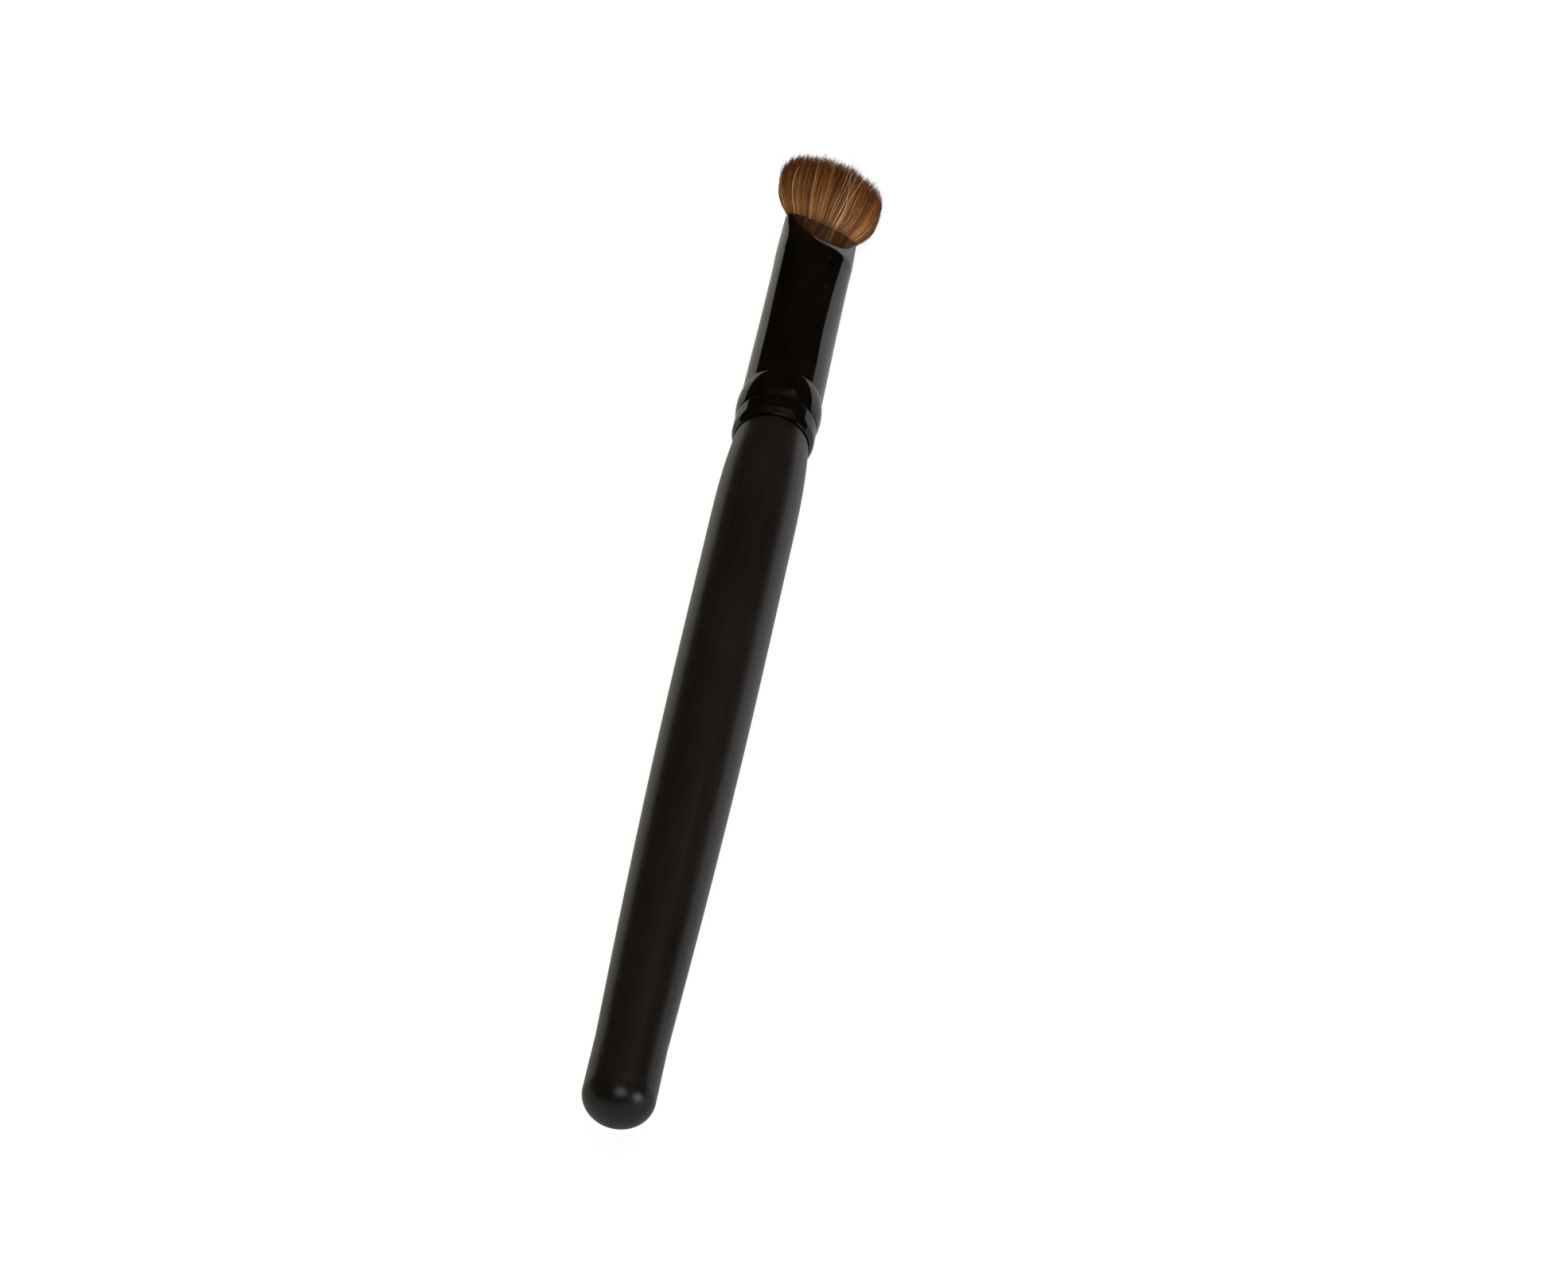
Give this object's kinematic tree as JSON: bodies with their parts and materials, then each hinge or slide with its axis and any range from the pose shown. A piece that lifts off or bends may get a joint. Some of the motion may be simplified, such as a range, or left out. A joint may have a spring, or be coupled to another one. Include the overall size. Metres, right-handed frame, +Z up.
{
  "type": "round stencil brush",
  "caption": "Slim brush: turned black wooden handle, glossy black metal ferrule with a rolled bead and a mouth pressed oval, and a flared tuft of brown natural hair.",
  "frame": {"origin": "under the middle of the brush, on the surface that it lies on", "axes": "+X along the brush axis from the butt to the hair, +Z up. The oval head is turned 25 degrees about the axis"},
  "size_m": [0.1754, 0.0146, 0.0113],
  "materials": {
    "black_wood": "satin black lacquer on turned wood",
    "black_metal": "gloss black lacquer on drawn aluminium",
    "glue": "set adhesive",
    "resin": "set resin",
    "thread": "waxed cotton",
    "hair": "natural brown hair"
  },
  "bodies": {
    "root": {"handle": "black_wood", "ferrule": "black_metal", "tenon_glue": "glue", "root_plug": "resin", "binding_thread": "thread", "hair_tuft": "hair"}
  },
  "joints": []
}
